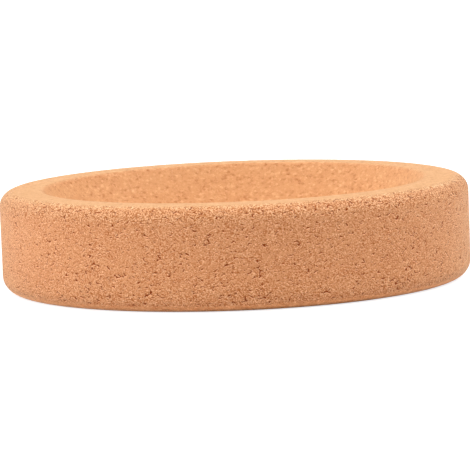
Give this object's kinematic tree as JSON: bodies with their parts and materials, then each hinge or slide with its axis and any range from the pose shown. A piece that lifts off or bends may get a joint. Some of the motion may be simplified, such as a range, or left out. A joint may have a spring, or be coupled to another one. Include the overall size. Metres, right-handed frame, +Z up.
{
  "type": "cork ring",
  "caption": "Low wide ring of pressed cork with softly rounded outer edges and a bore that narrows downwards, to hold a round-bottomed flask.",
  "frame": {"origin": "centre of the underside, on the surface the ring rests on", "axes": "+Z up, along the ring's axis; the ring is round, so +X and +Y are free"},
  "size_m": [0.14, 0.14, 0.03],
  "materials": {
    "cork": "matt pressed cork granules"
  },
  "bodies": {
    "root": {"cork_ring": "cork"}
  },
  "joints": []
}
